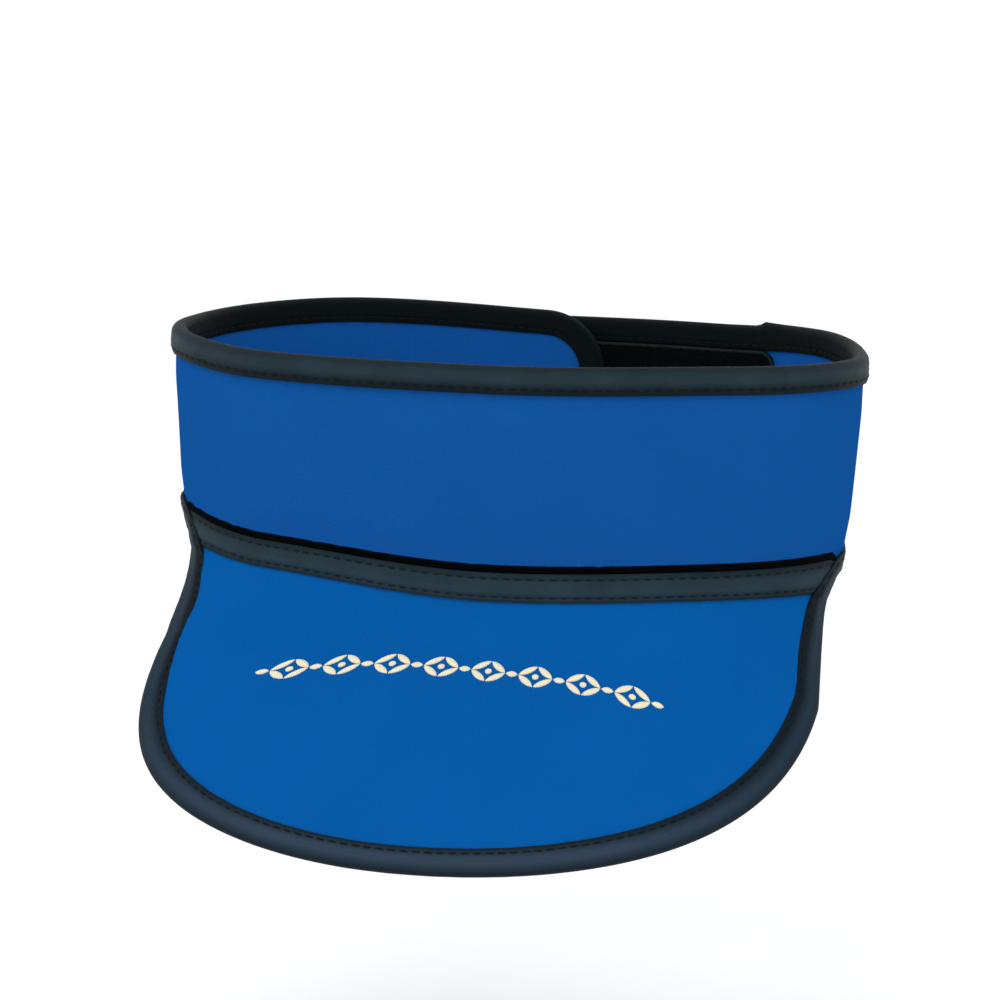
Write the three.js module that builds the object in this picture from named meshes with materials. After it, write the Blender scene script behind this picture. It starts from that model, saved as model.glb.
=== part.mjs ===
// Thyroid shield collar: a padded neck band, lapped and closed at the back, with a flared bib in front.
//
// Millimetres, +Z up, -Y to the wearer's front. The origin is the middle of the neck opening, level with the
// band's bottom edge, which is where the collar sits on the shoulders.
//
// The band is one strip wound round a loop. A place on it is given by s, the distance along the loop from the
// front centre (positive towards +X), z, the height over its bottom edge, and n, the distance outwards from
// the middle of its wall. The bib hangs on the same s, with its own distance down from the seam.

import * as THREE from 'three';

// Neck band, measured to the middle of its wall, halfway up
const LOOP_HALF_WIDTH = 93.2;
const LOOP_FRONT_DEPTH = 53;
const LOOP_BACK_DEPTH = 63.8;
const FRONT_ROUNDNESS = 2.13;
const BACK_ROUNDNESS = 2.6;
const BAND_HEIGHT = 56.3;
const BAND_WALL = 3.2;
const SIDE_LEAN = 1.8;
const FRONT_LEAN = 1.2;
const FACET_LENGTH = 8;
const BAND_ROWS = 5;

// Where the two flaps lie over each other, behind the neck
const LAP_LENGTH = 75;
const LAP_OFFSET = 19;
const LAP_RISE_LENGTH = 90;
const FLAP_CORNER_RADIUS = 17;

// Bias binding, folded over an edge, and the clearance between two touching pieces
const TAPE = 0.7;
const FOLD_ROUND_SHARE = 0.8;
const CLEARANCE = 0.3;
const NECK_BINDING_WIDTH = 6.9;
const BIB_BINDING_SIDE_WIDTH = 8.4;
const BIB_BINDING_FRONT_WIDTH = 5.7;

// Tape over the seam: how far it goes up the band and down the bib
const SEAM_TAPE_UP = 7.2;
const SEAM_TAPE_DOWN = 2.6;
const SEAM_GAP = 0.8;

// Hook and loop closure panels
const PANEL_THICKNESS = 1.2;
const PANEL_MARGIN = 7.6;
const PANEL_END_MARGIN = 12.5;
const PANEL_LENGTH = 62;
const LOOP_PANEL_EXTRA = 54;
const PANEL_CORNER_RADIUS = 5;
const PANEL_ROWS = 3;

// Bib
const BIB_WALL = 3.2;
const BIB_HALF_WIDTH = 87.6;
const BIB_REACH = 108.2;
const BIB_STRAIGHT = 41.2;
const BIB_ROUNDNESS = 2.14;
const BIB_SLOPE_AT_SEAM = 0;
const BIB_FRONT_ANGLE = 49.3;
const BIB_SIDE_ANGLE = 41.9;
const BIB_BEND_LENGTH = 20.4;
const BIB_SWAY = 15;
const BIB_ROLL = 2.3;

// The bib's side towards -X is drawn in beside the seam, and widens over a length that starts this far forward
const BIB_WAIST = 2.2;
const BIB_WAIST_START = 15;
const BIB_WAIST_LENGTH = 27.4;

// Rise of the band's top and bottom edges round the loop, as shares of RIM_RISE. at is a share of half the
// loop, counted from the front centre, negative towards -X.
const RIM_RISE = 5;
const RIM = [
  { at: -1.1, top: 0.45, bottom: 0 },
  { at: -0.78, top: 0.94, bottom: 0.09 },
  { at: -0.5, top: 0.35, bottom: 1 },
  { at: -0.25, top: -0.33, bottom: 0 },
  { at: 0, top: -0.28, bottom: -0.66 },
  { at: 0.25, top: -0.04, bottom: -0.37 },
  { at: 0.5, top: 0.03, bottom: -0.59 },
  { at: 0.65, top: 0.42, bottom: -0.3 },
  { at: 0.8, top: 0.16, bottom: -0.07 },
  { at: 1.3, top: 0.05, bottom: 0 },
];

const COVER_BLUE = new THREE.Color('#13509a');
const BIB_BLUE = new THREE.Color('#0a5aa6');
const BINDING_BLACK = new THREE.Color('#262f38');
const PANEL_BLACK = new THREE.Color('#0c0f12');

const bandFace = BAND_WALL / 2;
const bibFace = BIB_WALL / 2;
const lapRise = BAND_WALL + 2 * (CLEARANCE + PANEL_THICKNESS) + CLEARANCE;

// Helpers on numbers

const clamp = (value, low, high) => Math.min(Math.max(value, low), high);
const mix = (a, b, share) => a + (b - a) * share;

function smoothStep(value) {
  const t = clamp(value, 0, 1);
  return t * t * (3 - 2 * t);
}

function signedPower(value, power) {
  return Math.sign(value) * Math.abs(value) ** power;
}

// Value of a table's column at a place, eased from row to row
function readTable(table, column, at) {
  const last = table.length - 1;
  if (at <= table[0].at) return table[0][column];
  if (at >= table[last].at) return table[last][column];
  const next = table.findIndex((row) => row.at > at);
  const before = table[next - 1];
  const share = (at - before.at) / (table[next].at - before.at);
  return mix(before[column], table[next][column], smoothStep(share));
}

// The loop in plan

// Point of the loop at an angle, where down runs from 0 at the band's top to 1 at its bottom
function loopPoint(angle, down) {
  const lean = 0.5 - down;
  const front = Math.sin(angle) < 0;
  const halfWidth = LOOP_HALF_WIDTH + SIDE_LEAN * lean * 2;
  const depth = (front ? LOOP_FRONT_DEPTH : LOOP_BACK_DEPTH) + FRONT_LEAN * lean * 2;
  const power = 2 / (front ? FRONT_ROUNDNESS : BACK_ROUNDNESS);
  return new THREE.Vector2(
    halfWidth * signedPower(Math.cos(angle), power),
    depth * signedPower(Math.sin(angle), power),
  );
}

// Length along the loop at each of many small turns, from the front centre
const LOOP_TURNS = 2880;
const loopLengths = [0];
for (let turn = 1; turn <= LOOP_TURNS; turn += 1) {
  const here = loopPoint(-Math.PI / 2 + (2 * Math.PI * turn) / LOOP_TURNS, 0.5);
  const before = loopPoint(-Math.PI / 2 + (2 * Math.PI * (turn - 1)) / LOOP_TURNS, 0.5);
  loopLengths.push(loopLengths[turn - 1] + here.distanceTo(before));
}
const loopLength = loopLengths[LOOP_TURNS];
const halfLoop = loopLength / 2;

function loopAngle(s) {
  const wholeTurns = Math.floor(s / loopLength);
  const along = s - wholeTurns * loopLength;
  let low = 0;
  let high = LOOP_TURNS;
  while (high - low > 1) {
    const middle = (low + high) >> 1;
    if (loopLengths[middle] <= along) low = middle;
    else high = middle;
  }
  const share = (along - loopLengths[low]) / (loopLengths[high] - loopLengths[low]);
  return -Math.PI / 2 + 2 * Math.PI * (wholeTurns + (low + share) / LOOP_TURNS);
}

// Where the strip ends: the inner flap comes round from -X, the outer flap from +X
const innerEnd = -(halfLoop + LAP_LENGTH / 2 - LAP_OFFSET);
const outerEnd = halfLoop + LAP_LENGTH / 2 + LAP_OFFSET;

// The outer flap rides out over the inner one, each by half of what the lap needs
function lapShift(s) {
  const start = halfLoop - LAP_LENGTH / 2 - LAP_RISE_LENGTH;
  const outwards = smoothStep((s - start) / LAP_RISE_LENGTH);
  const inwards = smoothStep((-s - start) / LAP_RISE_LENGTH);
  return (lapRise / 2) * (outwards - inwards);
}

// The neck band's surface

const NORMAL_STEP = 1e-3;

function planFrame(s, down) {
  const angle = loopAngle(s);
  const point = loopPoint(angle, down);
  const along = loopPoint(angle + NORMAL_STEP, down).sub(loopPoint(angle - NORMAL_STEP, down)).normalize();
  return { point, outward: new THREE.Vector2(along.y, -along.x) };
}

function bandPoint(s, z, n) {
  const down = 1 - z / BAND_HEIGHT;
  const { point, outward } = planFrame(s, down);
  point.addScaledVector(outward, n + lapShift(s));
  const at = s / halfLoop;
  const rise = RIM_RISE * mix(readTable(RIM, 'top', at), readTable(RIM, 'bottom', at), down);
  return new THREE.Vector3(point.x, point.y, z + rise);
}

// The bib's surface

const SLOPE_STEP = 0.5;

// A size that changes from the collar's sides to its front
function sideToFront(side, front, s) {
  const forward = clamp(-Math.sin(loopAngle(s)), 0, 1);
  return mix(side, front, forward * forward);
}

// A ruling leaves the seam steeply, turns through the bend and goes on straight
function bibFall(length, steepest) {
  const start = THREE.MathUtils.degToRad(BIB_SLOPE_AT_SEAM);
  const turnRate = (steepest - start) / BIB_BEND_LENGTH;
  const slope = start + turnRate * Math.min(length, BIB_BEND_LENGTH);
  const straight = Math.max(length - BIB_BEND_LENGTH, 0);
  return {
    out: (Math.cos(start) - Math.cos(slope)) / turnRate + straight * Math.sin(steepest),
    down: (Math.sin(slope) - Math.sin(start)) / turnRate + straight * Math.cos(steepest),
  };
}

// Point of the middle of the bib's wall, a length down the ruling at s
function bibMiddle(s, length) {
  const seam = bandPoint(s, 0, 0);
  const along = bandPoint(s + SLOPE_STEP, 0, 0).sub(bandPoint(s - SLOPE_STEP, 0, 0));
  const outward = new THREE.Vector2(along.y, -along.x).normalize();
  const steepest = THREE.MathUtils.degToRad(sideToFront(BIB_SIDE_ANGLE, BIB_FRONT_ANGLE, s));
  const { out, down } = bibFall(length, steepest);
  const reach = BIB_REACH - LOOP_FRONT_DEPTH;
  const x = seam.x + outward.x * out - BIB_SWAY * (out / reach) * clamp(-outward.y, 0, 1);
  const y = seam.y + outward.y * out;
  const z = seam.z - SEAM_GAP - down - BIB_ROLL * (x / BIB_HALF_WIDTH) * (out / reach);
  return new THREE.Vector3(x, y, z);
}

function bibPoint(s, length, n) {
  const here = bibMiddle(s, length);
  const along = bibMiddle(s + SLOPE_STEP, length).sub(bibMiddle(s - SLOPE_STEP, length));
  const fall = bibMiddle(s, length + SLOPE_STEP).sub(here);
  return here.addScaledVector(fall.cross(along).normalize(), n);
}

// The bib's outline in plan: straight sides, then a rounded front. Negative inside, positive outside.
function bibOutline(point) {
  const forward = Math.max(-point.y - BIB_STRAIGHT, 0);
  const roundLength = BIB_REACH - BIB_STRAIGHT;
  const x = point.x + BIB_SWAY * (forward / roundLength);
  const widened = smoothStep((-point.y - BIB_WAIST_START) / BIB_WAIST_LENGTH);
  const side = Math.abs(x) / (BIB_HALF_WIDTH - (x < 0 ? BIB_WAIST * (1 - widened) : 0));
  return side ** BIB_ROUNDNESS + (forward / roundLength) ** BIB_ROUNDNESS - 1;
}

const SEARCH_STEPS = 30;
const BIB_SHORTEST = 3;
const BIB_LONGEST = 200;

function bibLength(s) {
  let low = 0;
  let high = BIB_LONGEST;
  for (let step = 0; step < SEARCH_STEPS; step += 1) {
    const middle = (low + high) / 2;
    if (bibOutline(bibMiddle(s, middle)) < 0) low = middle;
    else high = middle;
  }
  return Math.max(low, BIB_SHORTEST);
}

// Solids

// Joins sections into one closed body. A section holds two rows of points, one along each face, with as many
// points in each. A closed path has its last section joined to its first.
function loft(sections) {
  const count = sections[0].outer.length;
  const positions = [];
  sections.forEach(({ outer, inner }) => {
    [...outer, ...[...inner].reverse()].forEach((point) => positions.push(point.x, point.y, point.z));
  });
  const ring = count * 2;
  const indices = [];
  const quad = (a, b, c, d) => indices.push(a, c, b, a, d, c);
  for (let row = 0; row < sections.length - 1; row += 1) {
    for (let column = 0; column < ring; column += 1) {
      const next = (column + 1) % ring;
      quad(row * ring + column, (row + 1) * ring + column, (row + 1) * ring + next, row * ring + next);
    }
  }
  const lastRow = (sections.length - 1) * ring;
  for (let column = 0; column < count - 1; column += 1) {
    const across = ring - 1 - column;
    quad(column, column + 1, across - 1, across);
    quad(lastRow + across, lastRow + across - 1, lastRow + column + 1, lastRow + column);
  }
  const geometry = new THREE.BufferGeometry();
  geometry.setAttribute('position', new THREE.Float32BufferAttribute(positions, 3));
  geometry.setIndex(indices);
  geometry.computeVertexNormals();
  return geometry;
}

// Distances along a stretch of the loop, on a grid that every piece shares so that their facets match
const SHORTEST_STEP_SHARE = 0.3;

function loopStations(from, to) {
  const stations = [from];
  const first = Math.ceil(from / FACET_LENGTH + SHORTEST_STEP_SHARE);
  const last = Math.floor(to / FACET_LENGTH - SHORTEST_STEP_SHARE);
  for (let step = first; step <= last; step += 1) stations.push(step * FACET_LENGTH);
  stations.push(to);
  return stations;
}

// A slab with round corners, lying on the band between two distances and two heights
const CORNER_STEPS = 6;

function roundedSlab({ from, to, low, high, radius, inside, outside, rows }) {
  const corner = Math.min(radius, (high - low) / 2, (to - from) / 2);
  const cornerAt = (share) => corner * (1 - Math.cos((share * Math.PI) / 2));
  const stations = [];
  for (let step = 0; step < CORNER_STEPS; step += 1) stations.push(from + cornerAt(step / CORNER_STEPS));
  stations.push(...loopStations(from + corner, to - corner));
  for (let step = CORNER_STEPS - 1; step >= 0; step -= 1) stations.push(to - cornerAt(step / CORNER_STEPS));
  const sections = stations.map((s) => {
    const edge = Math.min(s - from, to - s, corner);
    const drop = corner - Math.sqrt(Math.max(corner ** 2 - (corner - edge) ** 2, 0));
    const heights = Array.from({ length: rows + 1 }, (_, row) => mix(high - drop, low + drop, row / rows));
    return {
      outer: heights.map((z) => bandPoint(s, z, outside)),
      inner: heights.map((z) => bandPoint(s, z, inside)),
    };
  });
  return loft(sections);
}

// Section of a tape folded over an edge, from its margin on one face to its margin on the other. across runs
// in from the edge, n outwards from the middle of the cloth, and firstSide is the face it starts on, 1 or -1.
// shares are the parts of the width that have a point, from the margin to the edge.
function foldedTape(face, width, firstSide, shares) {
  const under = face + CLEARANCE;
  const over = under + TAPE;
  const round = TAPE * FOLD_ROUND_SHARE;
  const side = (n) => ({
    outer: [
      ...shares.map((share) => ({ across: width * share, n: n * over })),
      { across: round - CLEARANCE - TAPE, n: n * over },
      { across: -CLEARANCE - TAPE, n: n * (over - round) },
    ],
    inner: [
      ...shares.map((share) => ({ across: width * share, n: n * under })),
      { across: -CLEARANCE, n: n * under },
      { across: -CLEARANCE, n: n * (under - round) },
    ],
  });
  const first = side(firstSide);
  const second = side(-firstSide);
  return {
    outer: [...first.outer, ...second.outer.reverse()],
    inner: [...first.inner, ...second.inner.reverse()],
  };
}

// Edge of the band outside the seam: along the bottom, round the inner flap, along the top, round the outer
// flap and back along the bottom. Each place has the direction that points into the cloth.
function bandEdge() {
  const from = seamStart - CLEARANCE;
  const to = seamEnd + CLEARANCE;
  const radius = FLAP_CORNER_RADIUS;
  const places = [];
  const corner = (centreS, centreZ, startAngle) => {
    for (let step = 0; step <= CORNER_STEPS; step += 1) {
      const angle = startAngle - (step / CORNER_STEPS) * (Math.PI / 2);
      const outS = Math.cos(angle);
      const outZ = Math.sin(angle);
      places.push({ s: centreS + radius * outS, z: centreZ + radius * outZ, inS: -outS, inZ: -outZ });
    }
  };
  const straight = (start, end, z, inZ) => {
    const stations = loopStations(Math.min(start, end), Math.max(start, end));
    if (start > end) stations.reverse();
    stations.slice(1, -1).forEach((s) => places.push({ s, z, inS: 0, inZ }));
  };
  places.push({ s: from, z: 0, inS: 0, inZ: 1 });
  straight(from, innerEnd + radius, 0, 1);
  corner(innerEnd + radius, radius, -Math.PI / 2);
  corner(innerEnd + radius, BAND_HEIGHT - radius, Math.PI);
  straight(innerEnd + radius, outerEnd - radius, BAND_HEIGHT, -1);
  corner(outerEnd - radius, BAND_HEIGHT - radius, Math.PI / 2);
  corner(outerEnd - radius, radius, 0);
  straight(outerEnd - radius, to, 0, 1);
  places.push({ s: to, z: 0, inS: 0, inZ: 1 });
  return places;
}

function neckBinding() {
  const { outer, inner } = foldedTape(bandFace, NECK_BINDING_WIDTH, -1, [1]);
  const sections = bandEdge().map(({ s, z, inS, inZ }) => {
    const place = ({ across, n }) => bandPoint(s + inS * across, z + inZ * across, n);
    return { outer: outer.map(place), inner: inner.map(place) };
  });
  return loft(sections);
}

// The seam ends where the loop is as wide as the bib
function seamEndOn(side) {
  let low = 0;
  let high = halfLoop / 2;
  for (let step = 0; step < SEARCH_STEPS; step += 1) {
    const middle = (low + high) / 2;
    if (bibOutline(bibMiddle(side * middle, 0)) < 0) low = middle;
    else high = middle;
  }
  return side * low;
}
const seamStart = seamEndOn(-1);
const seamEnd = seamEndOn(1);

// Room for the bib's binding on the ruling at s, between the bib's edge and the seam tape
function bindingRoom(s) {
  return bibLength(s) - SEAM_TAPE_DOWN - 2 * CLEARANCE;
}

// The bib's binding starts where it has room for its own thickness
function bindingEndOn(end) {
  let outside = end;
  let inside = end / 2;
  for (let step = 0; step < SEARCH_STEPS; step += 1) {
    const middle = (outside + inside) / 2;
    if (bindingRoom(middle) < TAPE) outside = middle;
    else inside = middle;
  }
  return inside;
}
const bindingStart = bindingEndOn(seamStart);
const bindingEnd = bindingEndOn(seamEnd);

// Stations along the bib's binding close up towards its ends, where the rulings shorten fast
const SEAM_STATIONS = 52;
const SEAM_CLOSING = 1.5;
const bindingStations = Array.from({ length: SEAM_STATIONS + 1 }, (_, step) => {
  const share = (2 * step) / SEAM_STATIONS - 1;
  const closed = Math.sign(share) * (1 - (1 - Math.abs(share)) ** SEAM_CLOSING);
  return mix(bindingStart, bindingEnd, (closed + 1) / 2);
});
const seamStations = [seamStart, ...bindingStations, seamEnd];

const BIB_ROWS = 14;

// The tape over the seam lies on the band above the seam and on the bib below it
function seamTape() {
  const under = bandFace + CLEARANCE;
  const over = under + TAPE;
  const sections = seamStations.map((s) => {
    const face = (n) => [
      bandPoint(s, SEAM_TAPE_UP, n),
      bandPoint(s, SEAM_TAPE_UP / 2, n),
      bandPoint(s, 0, n),
      bibPoint(s, SEAM_TAPE_DOWN, n - bandFace + bibFace),
    ];
    return { outer: face(over), inner: face(under) };
  });
  return loft(sections);
}

function bib() {
  const sections = seamStations.map((s) => {
    const length = bibLength(s);
    const rows = Array.from({ length: BIB_ROWS + 1 }, (_, row) => (length * row) / BIB_ROWS);
    return {
      outer: rows.map((down) => bibPoint(s, down, bibFace)),
      inner: rows.map((down) => bibPoint(s, down, -bibFace)),
    };
  });
  return loft(sections);
}

// Direction into the bib from its edge, as steps along the seam and along the ruling for each millimetre
function bibInward(s) {
  const length = bibLength(s);
  const here = bibMiddle(s, length);
  const alongSeam = bibMiddle(s + SLOPE_STEP, length).sub(here).divideScalar(SLOPE_STEP);
  const alongRuling = bibMiddle(s, length + SLOPE_STEP).sub(here).divideScalar(SLOPE_STEP);
  const edgeAt = (place) => bibMiddle(place, bibLength(place));
  const edge = edgeAt(s + SLOPE_STEP).sub(edgeAt(s - SLOPE_STEP)).normalize();
  const inward = alongRuling.clone().negate();
  inward.addScaledVector(edge, -inward.dot(edge)).normalize();
  const a = alongSeam.dot(alongSeam);
  const b = alongSeam.dot(alongRuling);
  const c = alongRuling.dot(alongRuling);
  const p = inward.dot(alongSeam);
  const q = inward.dot(alongRuling);
  const determinant = a * c - b * b;
  return { length, ds: (p * c - q * b) / determinant, dl: (q * a - p * b) / determinant };
}

// Narrows to a point under the seam tape at both ends of the seam
function bibBinding() {
  const sections = bindingStations.map((s) => {
    const { length, ds, dl } = bibInward(s);
    const fullWidth = sideToFront(BIB_BINDING_SIDE_WIDTH, BIB_BINDING_FRONT_WIDTH, s);
    const width = Math.min(fullWidth, bindingRoom(s));
    const { outer, inner } = foldedTape(bibFace, width, 1, [1, 0.5]);
    const place = ({ across, n }) => bibPoint(s + ds * across, length + dl * across, n);
    return { outer: outer.map(place), inner: inner.map(place) };
  });
  return loft(sections);
}

// Closure panels: hooks on the outer face of the inner flap, loops on the inner face of the outer flap
function hookPanel() {
  const under = bandFace + CLEARANCE;
  return roundedSlab({
    from: innerEnd + PANEL_END_MARGIN,
    to: innerEnd + PANEL_END_MARGIN + PANEL_LENGTH,
    low: PANEL_MARGIN,
    high: BAND_HEIGHT - PANEL_MARGIN,
    radius: PANEL_CORNER_RADIUS,
    inside: under,
    outside: under + PANEL_THICKNESS,
    rows: PANEL_ROWS,
  });
}

function loopPanel() {
  const under = -bandFace - CLEARANCE;
  return roundedSlab({
    from: outerEnd - PANEL_END_MARGIN - PANEL_LENGTH - LOOP_PANEL_EXTRA,
    to: outerEnd - PANEL_END_MARGIN,
    low: PANEL_MARGIN,
    high: BAND_HEIGHT - PANEL_MARGIN,
    radius: PANEL_CORNER_RADIUS,
    inside: under - PANEL_THICKNESS,
    outside: under,
    rows: PANEL_ROWS,
  });
}

function neckBand() {
  return roundedSlab({
    from: innerEnd,
    to: outerEnd,
    low: 0,
    high: BAND_HEIGHT,
    radius: FLAP_CORNER_RADIUS,
    inside: -bandFace,
    outside: bandFace,
    rows: BAND_ROWS,
  });
}

// The collar

const collar = new THREE.Group();

function add(name, geometry, color, roughness) {
  const material = new THREE.MeshStandardMaterial({ color, roughness, metalness: 0 });
  const mesh = new THREE.Mesh(geometry, material);
  mesh.name = name;
  collar.add(mesh);
}

add('neck_band', neckBand(), COVER_BLUE, 0.7);
add('neck_binding', neckBinding(), BINDING_BLACK, 0.6);
add('seam_tape', seamTape(), BINDING_BLACK, 0.6);
add('bib', bib(), BIB_BLUE, 0.7);
add('bib_binding', bibBinding(), BINDING_BLACK, 0.6);
add('hook_panel', hookPanel(), PANEL_BLACK, 0.9);
add('loop_panel', loopPanel(), PANEL_BLACK, 0.95);

export default collar;
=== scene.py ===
"""Thyroid shield collar: the finished cloth surfaces of a padded neck band with a flared bib.

The sizes are in millimetres, and the first ones, up to the rim's table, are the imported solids' own. A place
on the cloth is given by s, the distance along the band from the front centre, h, the height over the band's
bottom edge, which goes on below zero down the bib's rulings, and n, the distance outwards from the middle of
the wall. Meshes are made in metres.
"""
import math

import bpy
import numpy as np
from mathutils import Matrix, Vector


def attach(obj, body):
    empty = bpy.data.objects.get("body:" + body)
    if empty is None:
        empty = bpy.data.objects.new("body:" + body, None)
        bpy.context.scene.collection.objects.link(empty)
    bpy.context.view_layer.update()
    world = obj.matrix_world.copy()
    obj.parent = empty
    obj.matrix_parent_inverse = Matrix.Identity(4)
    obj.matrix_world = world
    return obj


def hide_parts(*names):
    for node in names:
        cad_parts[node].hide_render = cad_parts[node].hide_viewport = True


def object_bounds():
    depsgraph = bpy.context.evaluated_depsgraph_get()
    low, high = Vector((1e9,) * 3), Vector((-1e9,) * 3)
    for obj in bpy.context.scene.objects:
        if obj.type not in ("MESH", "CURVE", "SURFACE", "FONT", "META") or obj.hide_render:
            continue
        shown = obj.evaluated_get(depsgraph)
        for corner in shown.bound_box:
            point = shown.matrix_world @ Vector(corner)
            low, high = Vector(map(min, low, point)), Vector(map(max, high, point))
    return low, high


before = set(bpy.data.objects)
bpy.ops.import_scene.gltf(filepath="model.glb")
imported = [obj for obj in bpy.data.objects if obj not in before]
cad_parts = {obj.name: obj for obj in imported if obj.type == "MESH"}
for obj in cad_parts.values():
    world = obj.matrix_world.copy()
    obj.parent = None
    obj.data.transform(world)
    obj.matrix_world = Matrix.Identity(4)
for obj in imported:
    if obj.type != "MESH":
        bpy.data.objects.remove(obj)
cad_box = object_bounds()

MM = 0.001

# Neck band
LOOP_HALF_WIDTH = 93.2
LOOP_FRONT_DEPTH = 53.0
LOOP_BACK_DEPTH = 63.8
FRONT_ROUNDNESS = 2.13
BACK_ROUNDNESS = 2.6
BAND_HEIGHT = 56.3
BAND_WALL = 3.2
SIDE_LEAN = 1.8
FRONT_LEAN = 1.2
LAP_LENGTH = 75.0
LAP_OFFSET = 19.0
LAP_RISE_LENGTH = 90.0
FLAP_CORNER_RADIUS = 17.0

# Tapes and closure panels
TAPE = 0.7
CLEARANCE = 0.3
NECK_BINDING_WIDTH = 6.9
BIB_BINDING_SIDE_WIDTH = 8.4
BIB_BINDING_FRONT_WIDTH = 5.7
SEAM_TAPE_UP = 7.2
SEAM_TAPE_DOWN = 2.6
SEAM_GAP = 0.8
PANEL_THICKNESS = 1.2
PANEL_END_MARGIN = 12.5
PANEL_LENGTH = 62.0
LOOP_PANEL_EXTRA = 54.0
PANEL_CORNER_RADIUS = 5.0

# Bib
BIB_WALL = 3.2
BIB_HALF_WIDTH = 87.6
BIB_REACH = 108.2
BIB_STRAIGHT = 41.2
BIB_ROUNDNESS = 2.14
BIB_SLOPE_AT_SEAM = 0.0
BIB_FRONT_ANGLE = 49.3
BIB_SIDE_ANGLE = 41.9
BIB_BEND_LENGTH = 20.4
BIB_SWAY = 15.0
BIB_ROLL = 2.3
BIB_WAIST = 2.2
BIB_WAIST_START = 15.0
BIB_WAIST_LENGTH = 27.4

# Rise of the band's edges round the loop, in shares of RIM_RISE, at shares of half the loop from the front
RIM_RISE = 5.0
RIM = [
    dict(at=-1.1, top=0.45, bottom=0.0),
    dict(at=-0.78, top=0.94, bottom=0.09),
    dict(at=-0.5, top=0.35, bottom=1.0),
    dict(at=-0.25, top=-0.33, bottom=0.0),
    dict(at=0.0, top=-0.28, bottom=-0.66),
    dict(at=0.25, top=-0.04, bottom=-0.37),
    dict(at=0.5, top=0.03, bottom=-0.59),
    dict(at=0.65, top=0.42, bottom=-0.3),
    dict(at=0.8, top=0.16, bottom=-0.07),
    dict(at=1.3, top=0.05, bottom=0.0),
]

BAND_FACE = BAND_WALL / 2
BIB_FACE = BIB_WALL / 2

# Sewn down, the tapes lie closer to the cloth than the solids do and are a little narrower
SEWN_GAP = 0.05
SEWN_NARROWER = 0.6
SEWN_WIDTH = NECK_BINDING_WIDTH - SEWN_NARROWER
TAPE_UNDER = BAND_FACE + SEWN_GAP
TAPE_OVER = TAPE_UNDER + TAPE
PANEL_UNDER = BAND_FACE + CLEARANCE
SEAM_TAPE_LOW = -SEAM_TAPE_DOWN - SEAM_GAP
LAP_RISE = BAND_WALL + 2 * (CLEARANCE + PANEL_THICKNESS) + CLEARANCE


# Numbers

def smooth_step(value):
    share = np.clip(value, 0, 1)
    return share * share * (3 - 2 * share)


def signed_power(value, power):
    return np.sign(value) * np.abs(value) ** power


def read_table(table, column, at):
    """A table's column at each place, eased from row to row."""
    places = np.array([row["at"] for row in table])
    values = np.array([row[column] for row in table])
    row = np.clip(np.searchsorted(places, at, side="right") - 1, 0, len(table) - 2)
    share = (at - places[row]) / (places[row + 1] - places[row])
    return values[row] + (values[row + 1] - values[row]) * smooth_step(share)


def unit(vectors):
    return vectors / np.linalg.norm(vectors, axis=-1, keepdims=True)


def closing_steps(count):
    """Shares from 0 to 1 that close up towards both ends."""
    return (1 - np.cos(np.linspace(0, math.pi, count))) / 2


# The loop in plan

def loop_point(angle, down):
    lean = 1 - 2 * down
    front = np.sin(angle) < 0
    half_width = LOOP_HALF_WIDTH + SIDE_LEAN * lean
    depth = np.where(front, LOOP_FRONT_DEPTH, LOOP_BACK_DEPTH) + FRONT_LEAN * lean
    power = 2 / np.where(front, FRONT_ROUNDNESS, BACK_ROUNDNESS)
    x = half_width * signed_power(np.cos(angle), power)
    y = depth * signed_power(np.sin(angle), power)
    return np.stack([x, y], -1)


LOOP_TURNS = 2880
loop_angles = np.linspace(-math.pi / 2, 1.5 * math.pi, LOOP_TURNS + 1)
loop_chords = np.linalg.norm(np.diff(loop_point(loop_angles, 0.5), axis=0), axis=1)
loop_lengths = np.concatenate([[0], np.cumsum(loop_chords)])
LOOP_LENGTH = loop_lengths[-1]
HALF_LOOP = LOOP_LENGTH / 2
INNER_END = -(HALF_LOOP + LAP_LENGTH / 2 - LAP_OFFSET)
OUTER_END = HALF_LOOP + LAP_LENGTH / 2 + LAP_OFFSET


def loop_angle(s):
    turns = np.floor(s / LOOP_LENGTH)
    return np.interp(s - turns * LOOP_LENGTH, loop_lengths, loop_angles) + turns * 2 * math.pi


def lap_shift(s):
    """How far the outer flap rides out, and the inner one in, to lie over each other."""
    start = HALF_LOOP - LAP_LENGTH / 2 - LAP_RISE_LENGTH
    outwards = smooth_step((s - start) / LAP_RISE_LENGTH)
    inwards = smooth_step((-s - start) / LAP_RISE_LENGTH)
    return LAP_RISE / 2 * (outwards - inwards)


# The band's and the bib's surfaces

NORMAL_STEP = 1e-3
SLOPE_STEP = 0.5


def band_point(s, z, n):
    s, z, n = np.broadcast_arrays(np.asarray(s, float), z, n)
    down = 1 - z / BAND_HEIGHT
    angle = loop_angle(s)
    along = unit(loop_point(angle + NORMAL_STEP, down) - loop_point(angle - NORMAL_STEP, down))
    outward = np.stack([along[..., 1], -along[..., 0]], -1)
    plan = loop_point(angle, down) + outward * (n + lap_shift(s))[..., None]
    at = s / HALF_LOOP
    rise = read_table(RIM, "top", at) * (1 - down) + read_table(RIM, "bottom", at) * down
    return np.concatenate([plan, (z + RIM_RISE * rise)[..., None]], -1)


def side_to_front(side, front, s):
    """A size that changes from the collar's sides to its front."""
    forward = np.clip(-np.sin(loop_angle(s)), 0, 1)
    return side + (front - side) * forward ** 2


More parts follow.
